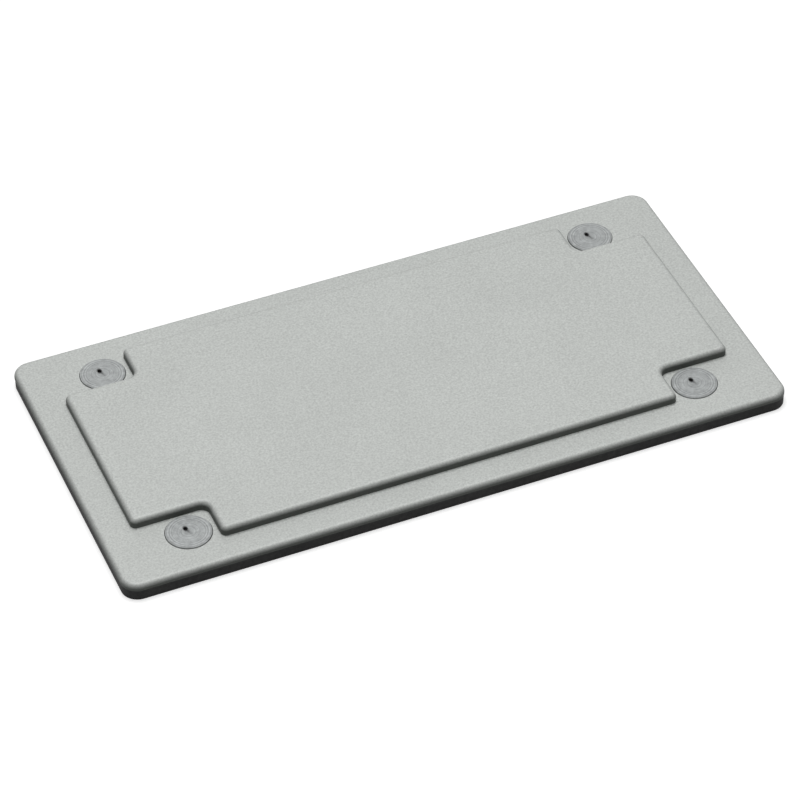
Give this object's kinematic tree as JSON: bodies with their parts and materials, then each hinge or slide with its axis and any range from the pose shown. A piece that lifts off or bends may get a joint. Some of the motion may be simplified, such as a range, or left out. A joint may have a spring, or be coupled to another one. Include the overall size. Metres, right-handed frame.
{
  "type": "rectangular cover plate",
  "caption": "Rectangular cast cover plate with a notched raised panel, a rubber gasket behind it and blind threaded inserts at its corners.",
  "frame": {"origin": "centre of the gasket's underside", "axes": "+X along the long side, +Z out of the cover's face"},
  "size_m": [0.18, 0.09, 0.0075],
  "materials": {
    "casting": "fine blasted light grey",
    "gasket": "matte black",
    "insert": "fine turned grey"
  },
  "bodies": {
    "root": {"cover_plate": "casting", "gasket": "gasket", "threaded_insert_front_left": "insert", "threaded_insert_front_right": "insert", "threaded_insert_rear_left": "insert", "threaded_insert_rear_right": "insert"}
  },
  "joints": []
}
